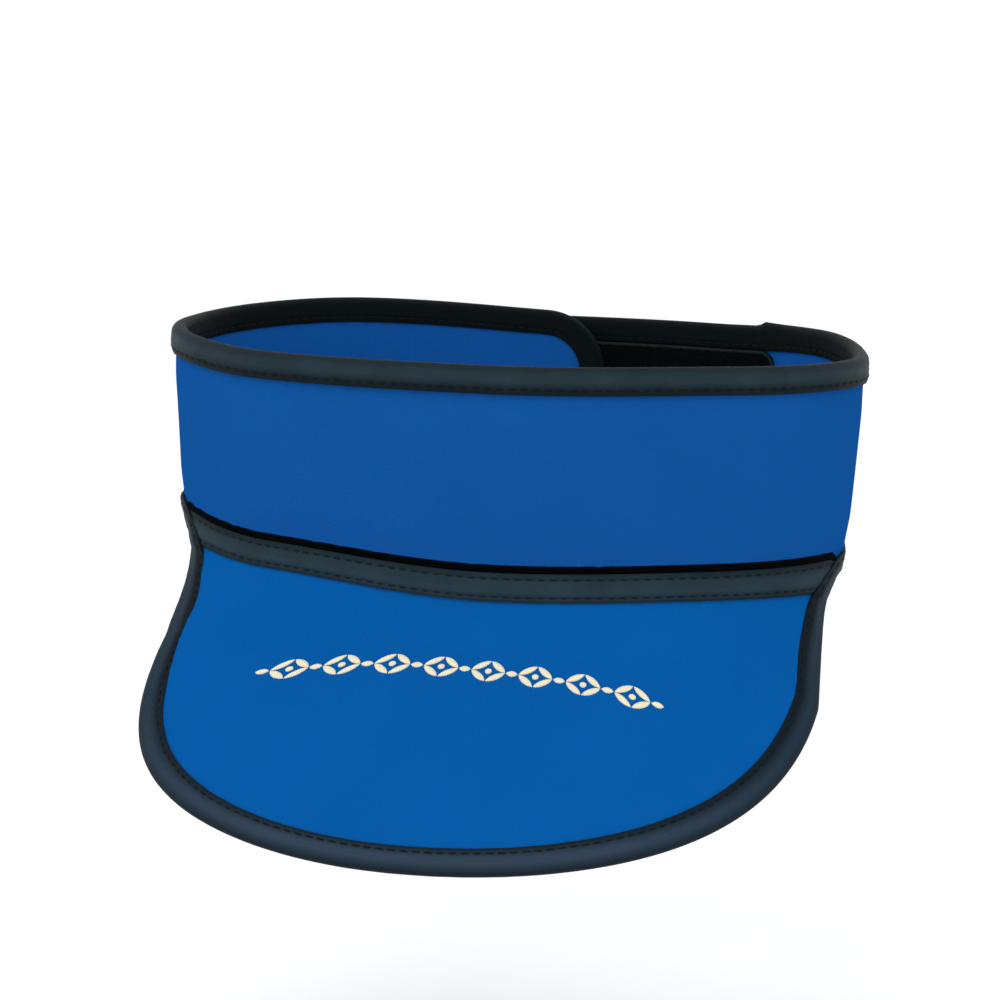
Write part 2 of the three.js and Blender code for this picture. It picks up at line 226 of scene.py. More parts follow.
def bib_fall(length, steepest):
    """Distance out and down at a length of a ruling that turns through the bend and then goes straight on."""
    start = math.radians(BIB_SLOPE_AT_SEAM)
    turn_rate = (steepest - start) / BIB_BEND_LENGTH
    slope = start + turn_rate * np.minimum(length, BIB_BEND_LENGTH)
    straight = np.maximum(length - BIB_BEND_LENGTH, 0)
    out = (math.cos(start) - np.cos(slope)) / turn_rate + straight * np.sin(steepest)
    down = (np.sin(slope) - math.sin(start)) / turn_rate + straight * np.cos(steepest)
    return out, down


def bib_middle(s, length):
    s, length = np.broadcast_arrays(np.asarray(s, float), length)
    seam = band_point(s, 0.0, 0.0)
    along = band_point(s + SLOPE_STEP, 0.0, 0.0) - band_point(s - SLOPE_STEP, 0.0, 0.0)
    outward = unit(np.stack([along[..., 1], -along[..., 0]], -1))
    steepest = np.radians(side_to_front(BIB_SIDE_ANGLE, BIB_FRONT_ANGLE, s))
    out, down = bib_fall(length, steepest)
    share = out / (BIB_REACH - LOOP_FRONT_DEPTH)
    x = seam[..., 0] + outward[..., 0] * out - BIB_SWAY * share * np.clip(-outward[..., 1], 0, 1)
    y = seam[..., 1] + outward[..., 1] * out
    z = seam[..., 2] - SEAM_GAP - down - BIB_ROLL * (x / BIB_HALF_WIDTH) * share
    return np.stack([x, y, z], -1)


def bib_normal(s, length):
    along = bib_middle(s + SLOPE_STEP, length) - bib_middle(s - SLOPE_STEP, length)
    fall = bib_middle(s, length + SLOPE_STEP) - bib_middle(s, length)
    return unit(np.cross(fall, along))


def bib_point(s, length, n):
    return bib_middle(s, length) + bib_normal(s, length) * np.asarray(n, float)[..., None]


def bib_outline(point):
    """Negative inside the bib's outline in plan, positive outside."""
    forward = np.maximum(-point[..., 1] - BIB_STRAIGHT, 0)
    round_length = BIB_REACH - BIB_STRAIGHT
    x = point[..., 0] + BIB_SWAY * forward / round_length
    widened = smooth_step((-point[..., 1] - BIB_WAIST_START) / BIB_WAIST_LENGTH)
    waist = np.where(x < 0, BIB_WAIST * (1 - widened), 0)
    side = np.abs(x) / (BIB_HALF_WIDTH - waist)
    return side ** BIB_ROUNDNESS + (forward / round_length) ** BIB_ROUNDNESS - 1


SEARCH_STEPS = 30
BIB_SHORTEST = 3.0
BIB_LONGEST = 200.0


def bib_length(s):
    low = np.zeros_like(s)
    high = np.full_like(s, BIB_LONGEST)
    for _ in range(SEARCH_STEPS):
        middle = (low + high) / 2
        inside = bib_outline(bib_middle(s, middle)) < 0
        low = np.where(inside, middle, low)
        high = np.where(inside, high, middle)
    return np.maximum(low, BIB_SHORTEST)


def seam_end(side):
    """Where the loop is as wide as the bib."""
    low, high = 0.0, HALF_LOOP / 2
    for _ in range(SEARCH_STEPS):
        middle = (low + high) / 2
        if bib_outline(bib_middle(side * middle, 0.0)) < 0:
            low = middle
        else:
            high = middle
    return side * low


SEAM_START = seam_end(-1)
SEAM_END = seam_end(1)


def cloth_point(s, h, n):
    """On the band, or below its bottom edge on the bib."""
    s, h, n = np.broadcast_arrays(np.asarray(s, float), h, n)
    on_bib = bib_point(s, np.maximum(-h - SEAM_GAP, 0), n)
    on_band = band_point(s, np.maximum(h, -SEAM_GAP), n)
    return np.where((h < -SEAM_GAP)[..., None], on_bib, on_band)


# Edges of the cloth

CURVE_POINTS = 25
BIB_EDGE_POINTS = 1500
LINE_STEP = 0.5
LEAVE_STEP = 1.0
BESIDE_SEAM_END = 0.8


def bezier(start, leaving, arriving, end):
    share = np.linspace(0, 1, CURVE_POINTS)[:, None]
    rest = 1 - share
    away = start * rest ** 3 + 3 * leaving * share * rest ** 2
    return away + 3 * arriving * share ** 2 * rest + end * share ** 3


def corner_arc(centre_s, centre_h, radius, first_degrees):
    """A quarter turn, clockwise."""
    angle = np.radians(first_degrees - np.linspace(0, 90, CURVE_POINTS))
    return np.stack([centre_s + radius * np.cos(angle), centre_h + radius * np.sin(angle)], -1)


def rounded_line(start, end, low, high, radius):
    """A rectangle with round corners, clockwise from the corner at its start and bottom."""
    near, far, bottom, top = start + radius, end - radius, low + radius, high - radius
    return np.concatenate([
        corner_arc(near, bottom, radius, -90),
        corner_arc(near, top, radius, 180),
        corner_arc(far, top, radius, 90),
        corner_arc(far, bottom, radius, 0),
    ])


def bib_edge_line():
    """The bib's own edge, from one end of the seam to the other."""
    s = SEAM_START + (SEAM_END - SEAM_START) * closing_steps(BIB_EDGE_POINTS)
    return np.stack([s, -bib_length(s) - SEAM_GAP], -1)


# Where the binding leaves the bib's edge and turns onto the band's: the length of the ruling that it leaves
# at, how far past the seam's end it meets the band's edge, and the reach of the curve's handles at both
BINDING_TURNS = {
    -1: dict(length=9.5, past=6.5, bib_handle=6.0, band_handle=5.5),
    1: dict(length=15.0, past=12.0, bib_handle=11.0, band_handle=10.0),
}


def turn_onto_band(edge, side):
    """The binding's line from the bib's edge to the band's bottom edge, at one end of the seam."""
    turn = BINDING_TURNS[side]
    seam = SEAM_END if side > 0 else SEAM_START
    beside = edge[edge[:, 0] * side > BESIDE_SEAM_END * abs(seam)]
    beside = beside[np.argsort(beside[:, 1])]
    heights = -SEAM_GAP - turn["length"] - np.array([LEAVE_STEP, 0.0])
    before, leave = np.stack([np.interp(heights, beside[:, 1], beside[:, 0]), heights], -1)
    arrive = np.array([seam + side * turn["past"], 0.0])
    leaving = leave + unit(leave - before) * turn["bib_handle"]
    arriving = arrive - np.array([side * turn["band_handle"], 0.0])
    return bezier(leave, leaving, arriving, arrive)


def bound_line():
    """The edge that the binding covers: round both flaps and the band's top, and down round the bib."""
    edge = bib_edge_line()
    left = turn_onto_band(edge, -1)
    right = turn_onto_band(edge, 1)
    between = (edge[:, 0] < right[0, 0]) & (edge[:, 0] > left[0, 0])
    band = rounded_line(INNER_END, OUTER_END, 0.0, BAND_HEIGHT, FLAP_CORNER_RADIUS)
    return np.concatenate([band, right[::-1], edge[between][::-1], left])


class Edge:
    """A closed line on the cloth, clockwise seen from outside, at even steps, with the way in from it."""

    def __init__(self, line, step):
        closed = np.concatenate([line, line[:1]])
        plain = np.concatenate([[0], np.cumsum(np.linalg.norm(np.diff(closed, axis=0), axis=1))])
        fine = stations(0, plain[-1], LINE_STEP)
        s, h = (np.interp(fine, plain, column) for column in closed.T)
        chords = np.linalg.norm(np.diff(cloth_point(s, h, 0.0), axis=0), axis=1)
        walked = np.concatenate([[0], np.cumsum(chords)])
        self.length = walked[-1]
        self.distance = np.linspace(0, self.length, int(self.length / step), endpoint=False)
        self.s = np.interp(self.distance, walked, s)
        self.h = np.interp(self.distance, walked, h)
        self.in_s, self.in_h = self.way_in()

    def way_in(self):
        """Steps in s and h for each millimetre in from the line, square to it."""
        s, h = self.s, self.h
        step = SLOPE_STEP
        along = (cloth_point(s + step, h, 0.0) - cloth_point(s - step, h, 0.0)) / (2 * step)
        rising = (cloth_point(s, h + step, 0.0) - cloth_point(s, h - step, 0.0)) / (2 * step)
        here = cloth_point(s, h, 0.0)
        travel = unit(np.roll(here, -1, axis=0) - np.roll(here, 1, axis=0))
        inward = unit(np.cross(travel, np.cross(along, rising)))
        along_squared, rising_squared = (along * along).sum(-1), (rising * rising).sum(-1)
        shared = (along * rising).sum(-1)
        in_along, in_rising = (inward * along).sum(-1), (inward * rising).sum(-1)
        determinant = along_squared * rising_squared - shared * shared
        in_s = (in_along * rising_squared - in_rising * shared) / determinant
        in_h = (in_rising * along_squared - in_along * shared) / determinant
        return in_s, in_h

    def places(self, across):
        """s and h at distances in from the line, a row of them for each station."""
        return self.s[:, None] + self.in_s[:, None] * across, self.h[:, None] + self.in_h[:, None] * across

    def at(self, distance, values):
        return np.interp(distance, self.distance, values, period=self.length)

    def place_at(self, distance, across):
        s = self.at(distance, self.s) + self.at(distance, self.in_s) * across
        h = self.at(distance, self.h) + self.at(distance, self.in_h) * across
        return s, h


# Meshes

CLOTH_MAP = "cloth"


def stations(start, end, step):
    return np.linspace(start, end, max(int(abs(end - start) / step), 1) + 1)


def add_piece(name, shells, material, sharp=None):
    """A mesh object on the collar's body. A shell is points in millimetres, faces and their corners' uv."""
    points, faces, maps, count = [], [], [], 0
    for shell_points, shell_faces, shell_map in shells:
        points.append(shell_points)
        faces.append(shell_faces + count)
        maps.append(shell_map.reshape(-1, 2))
        count += len(shell_points)
    mesh = bpy.data.meshes.new(name)
    mesh.from_pydata((np.concatenate(points) * MM).tolist(), [], np.concatenate(faces).tolist())
    mesh.uv_layers.new(name=CLOTH_MAP).data.foreach_set("uv", np.concatenate(maps).astype(np.float32).ravel())
    mesh.shade_smooth()
    if sharp:
        mesh.set_sharp_from_angle(angle=math.radians(sharp))
    mesh.materials.append(material)
    mesh.update()
    piece = bpy.data.objects.new(name, mesh)
    bpy.context.scene.collection.objects.link(piece)
    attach(piece, "root")
    return piece


def around_section(grid):
    """Length round each section, counted from the middle of its outer row, with the closing point last."""
    ring = np.concatenate([grid, grid[:, :1]], axis=1)
    chords = np.linalg.norm(np.diff(ring, axis=1), axis=2)
    length = np.concatenate([np.zeros((len(grid), 1)), np.cumsum(chords, axis=1)], axis=1)
    return length - length[:, -1:] / 4


def shell(outer, inner, u, v=None, closed=False):
    """One closed body from sections with an outer and an inner row of points. u is the cloth's coordinate
    along the sections and v the one across them, with the section's closing point last. In a closed body the
    last section joins the first one, and u has one more value."""
    grid = np.concatenate([outer, inner[:, ::-1]], axis=1)
    if closed:
        grid = np.concatenate([grid, grid[:1]])
    rows, ring = grid.shape[:2]
    if v is None:
        v = around_section(grid)
    if np.ndim(u) == 1:
        u = np.repeat(np.asarray(u)[:, None], ring + 1, axis=1)
    cloth = np.stack([u, v], -1)
    index = np.arange(rows * ring).reshape(rows, ring)
    if closed:
        index[-1] = index[0]
        grid = grid[:-1]
    beside = np.roll(index, -1, axis=1)
    faces = np.stack([index[:-1], beside[:-1], beside[1:], index[1:]], -1).reshape(-1, 4)
    corners = np.stack([cloth[:-1, :-1], cloth[:-1, 1:], cloth[1:, 1:], cloth[1:, :-1]], 2).reshape(-1, 4, 2)
    if not closed:
        column = np.arange(ring // 2 - 1)
        across = ring - 1 - column
        first = np.stack([column, across, across - 1, column + 1], -1)
        caps = np.concatenate([first, first[:, ::-1] + (rows - 1) * ring])
        faces = np.concatenate([faces, caps])
        corners = np.concatenate([corners, cloth[:, :-1].reshape(-1, 2)[caps]])
    return grid.reshape(-1, 3), faces, corners


def there_and_back(values):
    """A coordinate along a section's outer row, back along its inner one, and at the closing point."""
    return np.concatenate([values, values[:, ::-1], values[:, :1]], axis=1)


# Cloth relief, in millimetres

WAVE_COUNT = 6
WAVE_SPREAD = (0.7, 1.6)
PUCKER_LENGTH = 6.5
PUCKER_HEIGHT = 0.1
PUCKER_REACH = 5.0
TAPE_PUCKER = 0.05
WAVE_LENGTH = 70.0
WAVE_HEIGHT = 0.22
PUFF = 0.5
PUFF_RISE = 11.0
PUFF_UNDER_TAPE = 1.5
GATHER_UNDER_TAPE = 3.0
EDGE_ROUNDING = 1.2
THINNEST_EDGE = 0.3
PINCH = 0.2
PINCH_LENGTH = 4.5


def ripples(u, v, length, height, seed):
    """Gentle waves that don't repeat, from a few sines at odd angles."""
    random = np.random.default_rng(seed)
    total = np.zeros(np.broadcast(u, v).shape)
    for _ in range(WAVE_COUNT):
        angle = random.uniform(0, 2 * math.pi)
        wave = length * random.uniform(*WAVE_SPREAD)
        phase = random.uniform(0, 2 * math.pi)
        total = total + np.sin(2 * math.pi * (u * math.cos(angle) + v * math.sin(angle)) / wave + phase)
    return height * total / math.sqrt(WAVE_COUNT)


def padding(u, v, inside, seed):
    """How a stiff core fills the cloth, at a distance in from the binding: its puff, with the small gathers
    that the stitches pull in, and broad waves that both faces share."""
    puff = PUFF * smooth_step((inside + PUFF_UNDER_TAPE) / PUFF_RISE)
    beat = ripples(u, 0.0, PUCKER_LENGTH, PUCKER_HEIGHT, seed) * np.exp(-np.maximum(inside, 0) / PUCKER_REACH)
    gather = beat * smooth_step((inside + GATHER_UNDER_TAPE) / GATHER_UNDER_TAPE)
    waves = ripples(u, v, WAVE_LENGTH, WAVE_HEIGHT, seed + 1) * smooth_step(inside / PUFF_RISE)
    return puff + gather, waves


def pinched(edge):
    """The share of its thickness that the wall keeps near an edge, where the sewn binding squeezes it."""
    return 1 - PINCH * (1 - smooth_step((edge - EDGE_ROUNDING) / PINCH_LENGTH))


def wall_face(face, edge):
    """Half the wall's thickness, rounded off towards its cut edge."""
    rounding = np.sqrt(np.clip(1 - (1 - np.minimum(edge / EDGE_ROUNDING, 1)) ** 2, 0, 1))
    return face * pinched(edge) * (THINNEST_EDGE + (1 - THINNEST_EDGE) * rounding)


# Materials

CLOUD_SHARE = 0.65
NOISE_LOW = 0.35
NOISE_HIGH = 0.65


class Shader:
    """Short names for making a node material."""

    def __init__(self, name):
        self.material = bpy.data.materials.new(name)
        self.material.use_nodes = True
        self.tree = self.material.node_tree
        self.surface = self.tree.nodes["Principled BSDF"]

    def node(self, kind, **settings):
        node = self.tree.nodes.new(kind)
        for key, value in settings.items():
            setattr(node, key, value)
        return node

    def feed(self, socket, value):
        if isinstance(value, bpy.types.NodeSocket):
            self.tree.links.new(value, socket)
        else:
            socket.default_value = value

    def math(self, operation, first, second=0.0):
        node = self.node("ShaderNodeMath", operation=operation)
        self.feed(node.inputs[0], first)
        self.feed(node.inputs[1], second)
        return node.outputs[0]

    def wave(self, value, pitch):
        return self.math("SINE", self.math("MULTIPLY", value, 2 * math.pi / pitch))

    def blend(self, share, first, second):
        node = self.node("ShaderNodeMix", data_type="RGBA")
        self.feed(node.inputs["Factor"], share)
        self.feed(node.inputs["A"], first)
        self.feed(node.inputs["B"], second)
        return node.outputs["Result"]

    def span(self, value, low, high, to_low, to_high):
        node = self.node("ShaderNodeMapRange")
        for socket, number in zip(node.inputs, (value, low, high, to_low, to_high)):
            self.feed(socket, number)
        return node.outputs[0]

    def noise(self, vector, scale, detail=3.0):
        node = self.node("ShaderNodeTexNoise")
        self.feed(node.inputs["Vector"], vector)
        self.feed(node.inputs["Scale"], scale)
        self.feed(node.inputs["Detail"], detail)
        return node.outputs["Fac"]

    def cloth(self):
        """The cloth's coordinates in millimetres: the vector, and its two parts."""
        place = self.node("ShaderNodeUVMap", uv_map=CLOTH_MAP).outputs["UV"]
        parts = self.node("ShaderNodeSeparateXYZ")
        self.feed(parts.inputs[0], place)
        return place, parts.outputs["X"], parts.outputs["Y"]

    def cloudy(self, place, color, spread, cloud_scale, fibre_scale):
        """A colour that varies a little over the cloth, and the fine noise of its fibres."""
        fibre = self.noise(place, fibre_scale, detail=2.0)
        cloud = self.math("MULTIPLY", self.noise(place, cloud_scale), CLOUD_SHARE)
        tone = self.math("ADD", cloud, self.math("MULTIPLY", fibre, 1 - CLOUD_SHARE))
        share = self.span(tone, NOISE_LOW, NOISE_HIGH, 0.0, 1.0)
        return self.blend(share, shade(color, 1 - spread), shade(color, 1 + spread)), fibre

    def bump(self, height, depth, strength=1.0):
        node = self.node("ShaderNodeBump")
        self.feed(node.inputs["Height"], height)
        self.feed(node.inputs["Distance"], depth * MM)
        self.feed(node.inputs["Strength"], strength)
        self.feed(self.surface.inputs["Normal"], node.outputs["Normal"])

    def finish(self, color, **values):
        self.feed(self.surface.inputs["Base Color"], color)
        for name, value in values.items():
            self.feed(self.surface.inputs[name.replace("_", " ")], value)
        return self.material


def shade(color, amount):
    return tuple(channel * amount for channel in color[:3]) + (1.0,)


FIBRE_SPAN = (0.3, 0.7)
FINE_BUMP = 0.7

COVER_THREAD = 0.55
COVER_CROSSING = 0.2
COVER_HOLLOW = (0.2, 0.9)
COVER_HOLLOW_SHADE = 0.86
COVER_FIBRE = 0.5
COVER_ROUGH = (0.62, 0.74)

TAPE_RIB = 0.7
TAPE_CROSS_RIB = 0.6
TAPE_CROSS_DEPTH = 0.4
TAPE_RIB_SPAN = 1.2
TAPE_RIB_SHADE = 0.3
TAPE_ROUGH = (0.5, 0.62)
TAPE_GLOSS = 0.08
TAPE_TINT = (0.6, 0.85, 1.0, 1.0)
# Painted highlight along a tape's crown and painted shade towards its edges: the share of the spread kept at
# full colour, and how far the edges are darkened
LIT_CROWN_CORE = 0.2
EDGE_SHADE_DARK = 0.75

# Where the binding turns to its darker, bluer painted shade on the bib's sides and then to its paler painted
# highlight in front, in shares of half the bib's stretch, counted from its middle
SIDE_SHADE_FULL = 0.8
FRONT_LIT_FROM = 0.65
FRONT_LIT_FULL = 0.25

# Distances round the binding's section over which the painted shade on its inner face gives way to its outer
# face's colour
INNER_FACE = (-2.0, 0.6)

PILE_SPAN = 0.6
PILE_DARK = 0.4
PILE_LIGHT = 1.6
PLY_PITCH = 0.5
PLY_SLANT = 0.25
PLY_LIGHT = 1.08
SATIN_PITCH = 0.36

# Colours, in linear light
BAND_BLUE = (0.0056, 0.0792, 0.3052, 1.0)
BIB_BLUE = (0.0021, 0.0917, 0.336, 1.0)
TAPE_SLATE = (0.0185, 0.035, 0.0455, 1.0)
SEAM_SLATE = (0.0215, 0.0425, 0.058, 1.0)
# Painted shade on the binding's sides round the bib, and a painted highlight round its front
TAPE_SIDE_SHADE = (0.0120, 0.029, 0.050, 1.0)
TAPE_FRONT_LIT = (0.030, 0.052, 0.084, 1.0)
# Near-black painted shade: the binding's inner face, its edges and the hollows of its rib
TAPE_SHADE = (0.0008, 0.0018, 0.0022, 1.0)
# Near-black painted shade for the crevice along the seam tape's top, on the narrow tape that lies there
CREVICE_SHADE_BLACK = (0.001, 0.0015, 0.002, 1.0)
PILE_BLACK = (0.0022, 0.0028, 0.003, 1.0)
SELVAGE_GREY = (0.010, 0.017, 0.016, 1.0)
THREAD_BLACK = (0.004, 0.008, 0.011, 1.0)
SATIN_CREAM = (0.88, 0.81, 0.60, 1.0)


def cover_cloth(name, color):
    """Closely woven nylon: a matte cover, slightly cloudy, with over and under threads."""
    shader = Shader(name)
    place, u, v = shader.cloth()
    mixed, fibre = shader.cloudy(place, color, spread=0.06, cloud_scale=0.03, fibre_scale=1.6)
    warp = shader.wave(u, 2 * COVER_THREAD)
    weft = shader.wave(v, 2 * COVER_THREAD)
    over = shader.span(shader.math("MULTIPLY", warp, weft), -COVER_CROSSING, COVER_CROSSING, 0.0, 1.0)
    high = shader.math("MULTIPLY", shader.math("ABSOLUTE", warp), over)
    low = shader.math("MULTIPLY", shader.math("ABSOLUTE", weft), shader.math("SUBTRACT", 1.0, over))
    weave = shader.math("ADD", high, low)
    on_thread = shader.span(weave, *COVER_HOLLOW, 0.0, 1.0)
    woven = shader.blend(on_thread, shade(color, COVER_HOLLOW_SHADE), mixed)
    height = shader.math("ADD", weave, shader.math("MULTIPLY", fibre, COVER_FIBRE))
    shader.bump(height, depth=0.06, strength=FINE_BUMP)
    rough = shader.span(fibre, *FIBRE_SPAN, *COVER_ROUGH)
    return shader.finish(woven, Roughness=rough, Specular_IOR_Level=0.0)


def tape_cloth(name, color, crown, spread, inner_face=None, front=None):
    """Bias tape with a fine slanting rib, with a painted highlight along its crown, at a distance from the
    section's middle, and painted shade towards its edges. A folded tape has painted shade on its inner face,
    and round the bib it has darker, bluer painted shade on the sides and a paler painted highlight in front:
    inner_face has the two distances over which the inner face's painted shade gives way, and front the middle
    and half the length of the bib's stretch."""
    shader = Shader(name)
    place, u, v = shader.cloth()
    face, fibre = shader.cloudy(place, color, spread=0.15, cloud_scale=0.08, fibre_scale=2.2)
    # Painted shade round the bib's sides and a painted highlight round its front
    if front:
        middle, half = front
        from_front = shader.math("ABSOLUTE", shader.math("SUBTRACT", u, middle))
        on_bib = shader.span(from_front, SIDE_SHADE_FULL * half, half, 1.0, 0.0)
        face = shader.blend(on_bib, face, TAPE_SIDE_SHADE)
        front_lit = shader.span(from_front, FRONT_LIT_FULL * half, FRONT_LIT_FROM * half, 1.0, 0.0)
        face = shader.blend(front_lit, face, TAPE_FRONT_LIT)
    # Painted shade on the folded tape's inner face
    if inner_face:
        face = shader.blend(shader.span(v, *inner_face, 0.0, 1.0), TAPE_SHADE, face)
    # Painted highlight along the crown, painted shade towards the edges
    off_crown = shader.math("ABSOLUTE", shader.math("SUBTRACT", shader.math("ABSOLUTE", v), crown))
    edge_shade = shader.span(off_crown, LIT_CROWN_CORE * spread, spread, 0.0, EDGE_SHADE_DARK)
    toned = shader.blend(edge_shade, face, TAPE_SHADE)
    rib = shader.wave(shader.math("ADD", u, v), TAPE_RIB)
    thread = shader.wave(shader.math("SUBTRACT", u, v), TAPE_RIB * TAPE_CROSS_RIB)
    height = shader.math("ADD", rib, shader.math("MULTIPLY", thread, TAPE_CROSS_DEPTH))
    in_hollow = shader.span(height, -TAPE_RIB_SPAN, TAPE_RIB_SPAN, TAPE_RIB_SHADE, 0.0)
    ribbed = shader.blend(in_hollow, toned, TAPE_SHADE)
    shader.bump(shader.math("ADD", height, fibre), depth=0.05, strength=FINE_BUMP)
    rough = shader.span(fibre, *FIBRE_SPAN, *TAPE_ROUGH)
    return shader.finish(ribbed, Roughness=rough, Specular_IOR_Level=TAPE_GLOSS, Specular_Tint=TAPE_TINT)


def pile_cloth(name, color, grain, gloss=0.02):
    """Hook or loop tape: a dense dull nap."""
    shader = Shader(name)
    place = shader.cloth()[0]
    tuft = shader.node("ShaderNodeTexVoronoi")
    shader.feed(tuft.inputs["Vector"], place)
    shader.feed(tuft.inputs["Scale"], 1 / grain)
    fuzz = shader.noise(place, scale=2.0, detail=4.0)
    height = shader.math("SUBTRACT", fuzz, tuft.outputs["Distance"])
    raised = shader.span(height, -PILE_SPAN, PILE_SPAN, 0.0, 1.0)
    mixed = shader.blend(raised, shade(color, PILE_DARK), shade(color, PILE_LIGHT))
    shader.bump(height, depth=0.3)
    return shader.finish(mixed, Roughness=0.95, Specular_IOR_Level=gloss)


def thread_finish(name, color, pitch, dark, gloss, tint):
    """Thread with the twist of its plies, or satin stitches laid side by side."""
    shader = Shader(name)
    u, v = shader.cloth()[1:]
    twist = shader.wave(shader.math("ADD", u, shader.math("MULTIPLY", v, PLY_SLANT)), pitch)
    mixed = shader.blend(shader.span(twist, -1.0, 1.0, 0.0, 1.0), shade(color, dark), shade(color, PLY_LIGHT))
    shader.bump(twist, depth=0.04, strength=FINE_BUMP)
    return shader.finish(mixed, Roughness=0.5, Specular_IOR_Level=gloss, Specular_Tint=tint)


band_cloth = cover_cloth("band_cloth", BAND_BLUE)
bib_cloth = cover_cloth("bib_cloth", BIB_BLUE)
# The seam tape: painted highlight along its middle, painted shade towards its edges
seam_cloth = tape_cloth("seam_cloth", SEAM_SLATE, crown=0.0, spread=5.6)
crevice_shade_cloth = pile_cloth("crevice_shade_cloth", CREVICE_SHADE_BLACK, grain=0.5)
loop_cloth = pile_cloth("loop_cloth", PILE_BLACK, grain=0.5)
hook_cloth = pile_cloth("hook_cloth", PILE_BLACK, grain=0.9)
selvage_cloth = pile_cloth("selvage_cloth", SELVAGE_GREY, grain=0.6, gloss=0.12)
black_thread = thread_finish("black_thread", THREAD_BLACK, PLY_PITCH, dark=0.6, gloss=0.12, tint=TAPE_TINT)
satin_thread = thread_finish("satin_thread", SATIN_CREAM, SATIN_PITCH, dark=0.72, gloss=0.4, tint=SATIN_CREAM)


# Neck band cover

CORNER_POINTS = 15
COVER_ROWS = 41
SHARP_ANGLE = 50.0
ALLOWANCE_RISE = 4.0

# How far past the lap and the loop panel the cover stays flat, and over what length it then puffs up
FLAT_PAST_PANEL = 8.0
FLAT_TO_PUFFED = 20.0


def slab_stations(start, end, radius, step):
    """Distances along a slab with round corners, closer together round the corners."""
    corner = radius * (1 - np.cos(np.linspace(0, math.pi / 2, CORNER_POINTS)))[:-1]
    return np.concatenate([start + corner, stations(start + radius, end - radius, step), end - corner[::-1]])


def corner_drop(edge, radius):
    inset = radius - np.minimum(edge, radius)
    return radius - np.sqrt(np.clip(radius ** 2 - inset ** 2, 0, None))


def seam_allowance(s):
    """How far the band's and the bib's covers go into the gap between them, along the seam."""
    inside = smooth_step((s - SEAM_START) / ALLOWANCE_RISE) * smooth_step((SEAM_END - s) / ALLOWANCE_RISE)
    return SEAM_GAP / 2 * inside


def neck_band_cover():
    s = slab_stations(INNER_END, OUTER_END, FLAP_CORNER_RADIUS, step=2.5)[:, None]
    end = np.minimum(s - INNER_END, OUTER_END - s)
    drop = corner_drop(end, FLAP_CORNER_RADIUS)
    low = drop - seam_allowance(s)
    high = BAND_HEIGHT - drop
    h = low + (high - low) * (1 - closing_steps(COVER_ROWS)[None, :])
    edge = np.minimum(np.minimum(h - low, high - h), end)
    puff, waves = padding(s, h, edge - SEWN_WIDTH, seed=3)
    outer_start = INNER_END + LAP_LENGTH + FLAT_PAST_PANEL
    inner_end = OUTER_END - LAP_LENGTH - LOOP_PANEL_EXTRA - FLAT_PAST_PANEL
    outer_free = smooth_step((s - outer_start) / FLAT_TO_PUFFED)
    inner_free = smooth_step((inner_end - s) / FLAT_TO_PUFFED)
    face = wall_face(BAND_FACE, edge)
    outer = band_point(s, h, face + (puff + waves) * outer_free)
    inner = band_point(s, h, -face - (puff - waves) * inner_free)
    body = shell(outer, inner, s[:, 0], there_and_back(h))
    piece = add_piece("neck_band_cover", [body], band_cloth, SHARP_ANGLE)
    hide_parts("neck_band")


# Sewn tapes

# The fold over the edge, and the margin that is stitched down
FOLD_DEPTH = 2.2
FOLD_START = FOLD_DEPTH - CLEARANCE - TAPE
FLAT_POINTS = 11
FOLD_POINTS = 13
WIDTH_EASE = 12.0
CLOSING_EASE = 8.0
TAPE_CROWN = 0.12
STITCH_MARGIN = 1.5
STITCH_GROOVE = 0.25
GROOVE_WIDTH = 0.55
MARGIN_ROUND = 1.1
MARGIN_DROP = 0.35

# Stitches: their arch and depth are shares of the thread's radius, and their tips' one of its square
STITCH_PITCH = 3.1
STITCH_LENGTH = 2.4
STITCH_RADIUS = 0.17
STITCH_RINGS = 5
STITCH_SIDES = 6
STITCH_ARCH = 1.4
STITCH_SUNK = 0.5
STITCH_TIP = 0.04

# The binding's lapped join
JOIN_AT = 183.0
JOIN_HEIGHT = 1.3
JOIN_LENGTH = 9.0
JOIN_STEP = 1.6
JOIN_THICKNESS = 0.3
TOP_SLACK = 1.0

# The seam tape, the thin line along its top, and how the binding climbs over their ends
TAPE_END_LOW = 0.5
TAPE_END_HIGH = 11.0
SEAM_LINE = 2.0
SEAM_SAG = 0.7
SEAM_LINE_TUCK = 3.0
SEAM_LINE_END = 0.9
SEAM_LINE_LOW = 0.1
SEAM_LINE_RISE = 0.5
SEAM_LINE_EASE = 0.5
SEAM_LINE_ROUND = 0.15
SEAM_LINE_SUNK = 0.3
SEAM_STEP = 0.01
SEAM_ROWS = 29
SEAM_LINE_ROWS = 19
SEAM_STITCH_INSET = 2.0
SAG_FROM = 0.55
SAG_EASE = 0.4
CLIMB = 0.65
CLIMB_LENGTH = 3.0


def tape_relief(across, width):
    """Height of a sewn tape's face over its plain thickness, at a distance from one edge towards a stitched
    margin: a crown, the groove of the stitches, and the margin pressed down onto the cloth."""
    crown = TAPE_CROWN * np.clip(1 - (2 * across / (width - STITCH_MARGIN) - 1) ** 2, 0, 1)
    stitches = STITCH_GROOVE * np.exp(-((across - width + STITCH_MARGIN) / GROOVE_WIDTH) ** 2)
    margin = MARGIN_DROP * smooth_step((across - width) / MARGIN_ROUND + 1)
    return crown - stitches - margin


def seam_tape_reach(h):
    """How far the seam tape goes past the seam's ends, under the binding."""
    share = (h - SEAM_TAPE_LOW) / (SEAM_TAPE_UP - SEAM_TAPE_LOW)
    return TAPE_END_LOW + (TAPE_END_HIGH - TAPE_END_LOW) * share


